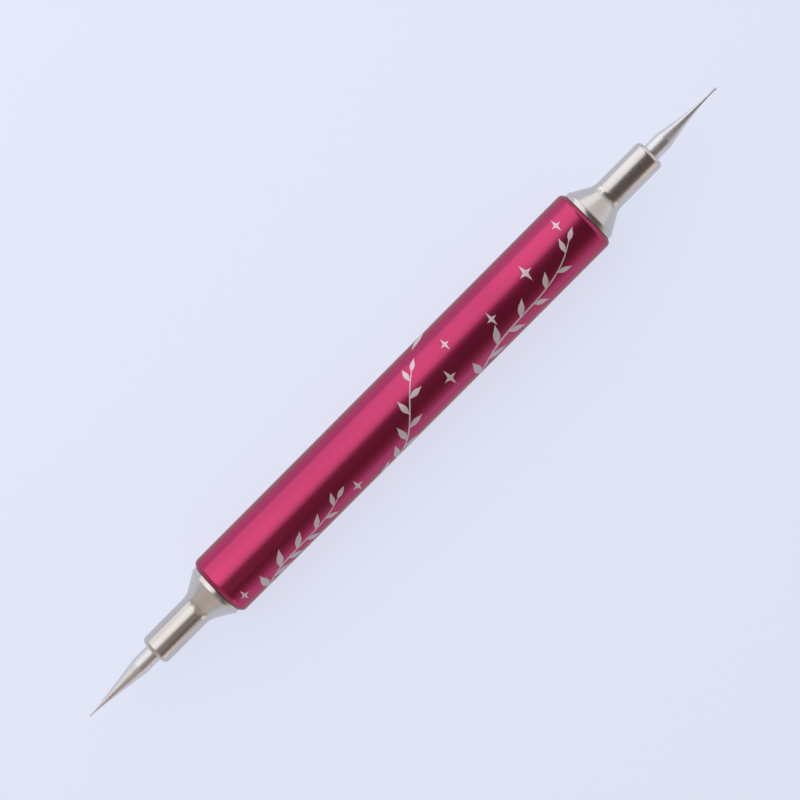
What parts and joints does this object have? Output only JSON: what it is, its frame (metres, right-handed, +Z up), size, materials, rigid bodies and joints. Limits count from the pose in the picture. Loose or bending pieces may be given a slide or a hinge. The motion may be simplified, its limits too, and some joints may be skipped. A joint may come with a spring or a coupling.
{
  "type": "dotting tool",
  "caption": "Slim round hand tool with an anodised tube handle and screw-in plated heads at both ends, a tiny ball stylus opposite a needle point, for dotting and fine lines.",
  "frame": {"origin": "on the surface that the tool lies on, under the middle of its length and its axis", "axes": "+X along the tool towards the ball end, +Z up from the surface"},
  "size_m": [0.1268, 0.01, 0.01],
  "materials": {
    "anodised_barrel": "magenta anodised aluminium, satin, with a thin silver print",
    "bush_brass": "bare machined brass",
    "ring_nickel": "brass with polished nickel plate",
    "ferrule_nickel": "brass with polished nickel plate, slightly warm",
    "stylus_steel": "ground and polished stainless steel"
  },
  "bodies": {
    "handle": {"barrel": "anodised_barrel", "ball_end_thread_bush": "bush_brass", "needle_end_thread_bush": "bush_brass"},
    "ball_end_ring": {"ball_end_trim_ring": "ring_nickel"},
    "ball_end_head": {"ball_end_ferrule": "ferrule_nickel", "ball_end_stylus": "stylus_steel"},
    "needle_end_ring": {"needle_end_trim_ring": "ring_nickel"},
    "needle_end_head": {"needle_end_ferrule": "ferrule_nickel", "needle_end_stylus": "stylus_steel"}
  },
  "joints": [
    {"name": "ball_end_travel", "type": "slide", "parent": "handle", "child": "ball_end_ring", "axis": [1, 0, 0], "range_m": [0, 0.006]},
    {"name": "ball_end_unscrew", "type": "hinge", "parent": "ball_end_ring", "child": "ball_end_head", "pos_m": [0.03735, 0, 0.005], "axis": [1, 0, 0], "range_deg": [0, 2880]},
    {"name": "needle_end_travel", "type": "slide", "parent": "handle", "child": "needle_end_ring", "axis": [-1, 0, 0], "range_m": [0, 0.006]},
    {"name": "needle_end_unscrew", "type": "hinge", "parent": "needle_end_ring", "child": "needle_end_head", "pos_m": [-0.03735, 0, 0.005], "axis": [-1, 0, 0], "range_deg": [0, 2880]}
  ],
  "couplings": [
    {"joint": "ball_end_unscrew", "follows": "ball_end_travel", "rad_per_m": 8377.6},
    {"joint": "needle_end_unscrew", "follows": "needle_end_travel", "rad_per_m": 8377.6}
  ]
}
